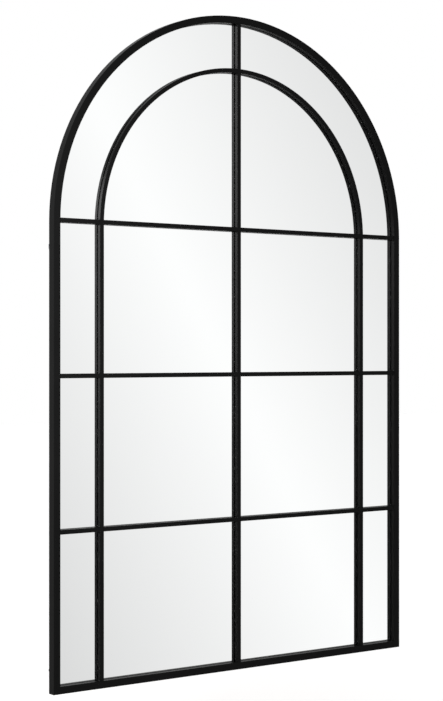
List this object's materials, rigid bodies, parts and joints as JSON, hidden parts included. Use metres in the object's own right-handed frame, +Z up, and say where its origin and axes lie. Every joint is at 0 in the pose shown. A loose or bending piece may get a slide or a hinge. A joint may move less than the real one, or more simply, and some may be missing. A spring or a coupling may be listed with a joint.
{
  "type": "full-length mirror",
  "caption": "Tall arched wall mirror in a dark metal frame with a window-pane grid; backboard held by turn buttons, swinging hanger rings behind.",
  "frame": {"origin": "on the wall plane, midway between the eyes of the two hanger rings", "axes": "+Z up, +Y into the wall, +X to the right as the viewer sees the mirror; the glass faces -Y"},
  "size_m": [1.2, 0.032, 1.8344],
  "materials": {
    "black_metal": "satin",
    "mirror": "polished",
    "glazing_tape": "matte",
    "rubber": "matte",
    "foam": "matte",
    "board": "matte",
    "plated_steel": "satin",
    "key_metal": "satin"
  },
  "bodies": {
    "mirror": {"left_stile": "black_metal", "right_stile": "black_metal", "bottom_rail": "black_metal", "frame_arch": "black_metal", "left_mullion": "black_metal", "right_mullion": "black_metal", "centre_mullion": "black_metal", "inner_arch": "black_metal", "lower_bar": "black_metal", "middle_bar": "black_metal", "spring_bar": "black_metal", "frame_glazing_tape": "glazing_tape", "grid_glazing_tape": "glazing_tape", "mirror_glass": "mirror", "setting_blocks": "rubber", "foam_strip": "foam", "backboard": "board", "turn_button_screws": "plated_steel", "hanger_screws": "plated_steel", "wall_bumpers": "rubber", "corner_key_left": "key_metal", "corner_key_right": "key_metal", "splice_key_left": "key_metal", "splice_key_right": "key_metal", "hanger_strap_left": "plated_steel", "hanger_strap_right": "plated_steel"},
    "turn_button_1": {"turn_button_1": "plated_steel"},
    "turn_button_2": {"turn_button_2": "plated_steel"},
    "turn_button_3": {"turn_button_3": "plated_steel"},
    "turn_button_4": {"turn_button_4": "plated_steel"},
    "turn_button_5": {"turn_button_5": "plated_steel"},
    "turn_button_6": {"turn_button_6": "plated_steel"},
    "turn_button_7": {"turn_button_7": "plated_steel"},
    "turn_button_8": {"turn_button_8": "plated_steel"},
    "turn_button_9": {"turn_button_9": "plated_steel"},
    "hanger_ring_left": {"hanger_ring_left": "plated_steel"},
    "hanger_ring_right": {"hanger_ring_right": "plated_steel"}
  },
  "joints": [
    {"name": "turn_button_1_turn", "type": "hinge", "parent": "mirror", "child": "turn_button_1", "pos_m": [-0.593, -0.00505, -0.8745], "axis": [0, 1, 0], "range_deg": [-90, 90]},
    {"name": "turn_button_2_turn", "type": "hinge", "parent": "mirror", "child": "turn_button_2", "pos_m": [0.593, -0.00505, -0.8745], "axis": [0, 1, 0], "range_deg": [-90, 90]},
    {"name": "turn_button_3_turn", "type": "hinge", "parent": "mirror", "child": "turn_button_3", "pos_m": [-0.593, -0.00505, -0.2745], "axis": [0, 1, 0], "range_deg": [-90, 90]},
    {"name": "turn_button_4_turn", "type": "hinge", "parent": "mirror", "child": "turn_button_4", "pos_m": [0.593, -0.00505, -0.2745], "axis": [0, 1, 0], "range_deg": [-90, 90]},
    {"name": "turn_button_5_turn", "type": "hinge", "parent": "mirror", "child": "turn_button_5", "pos_m": [-0.32, -0.00505, -1.1675], "axis": [0, 1, 0], "range_deg": [-90, 90]},
    {"name": "turn_button_6_turn", "type": "hinge", "parent": "mirror", "child": "turn_button_6", "pos_m": [0.32, -0.00505, -1.1675], "axis": [0, 1, 0], "range_deg": [-90, 90]},
    {"name": "turn_button_7_turn", "type": "hinge", "parent": "mirror", "child": "turn_button_7", "pos_m": [0.41931, -0.00505, 0.47931], "axis": [0, 1, 0], "range_deg": [-90, 90]},
    {"name": "turn_button_8_turn", "type": "hinge", "parent": "mirror", "child": "turn_button_8", "pos_m": [0, -0.00505, 0.653], "axis": [0, 1, 0], "range_deg": [-90, 90]},
    {"name": "turn_button_9_turn", "type": "hinge", "parent": "mirror", "child": "turn_button_9", "pos_m": [-0.41931, -0.00505, 0.47931], "axis": [0, 1, 0], "range_deg": [-90, 90]},
    {"name": "hanger_ring_left_swing", "type": "hinge", "parent": "mirror", "child": "hanger_ring_left", "pos_m": [-0.592, -0.00325, 0], "axis": [1, 0, 0], "range_deg": [0, 180]},
    {"name": "hanger_ring_right_swing", "type": "hinge", "parent": "mirror", "child": "hanger_ring_right", "pos_m": [0.592, -0.00325, 0], "axis": [1, 0, 0], "range_deg": [0, 180]}
  ]
}
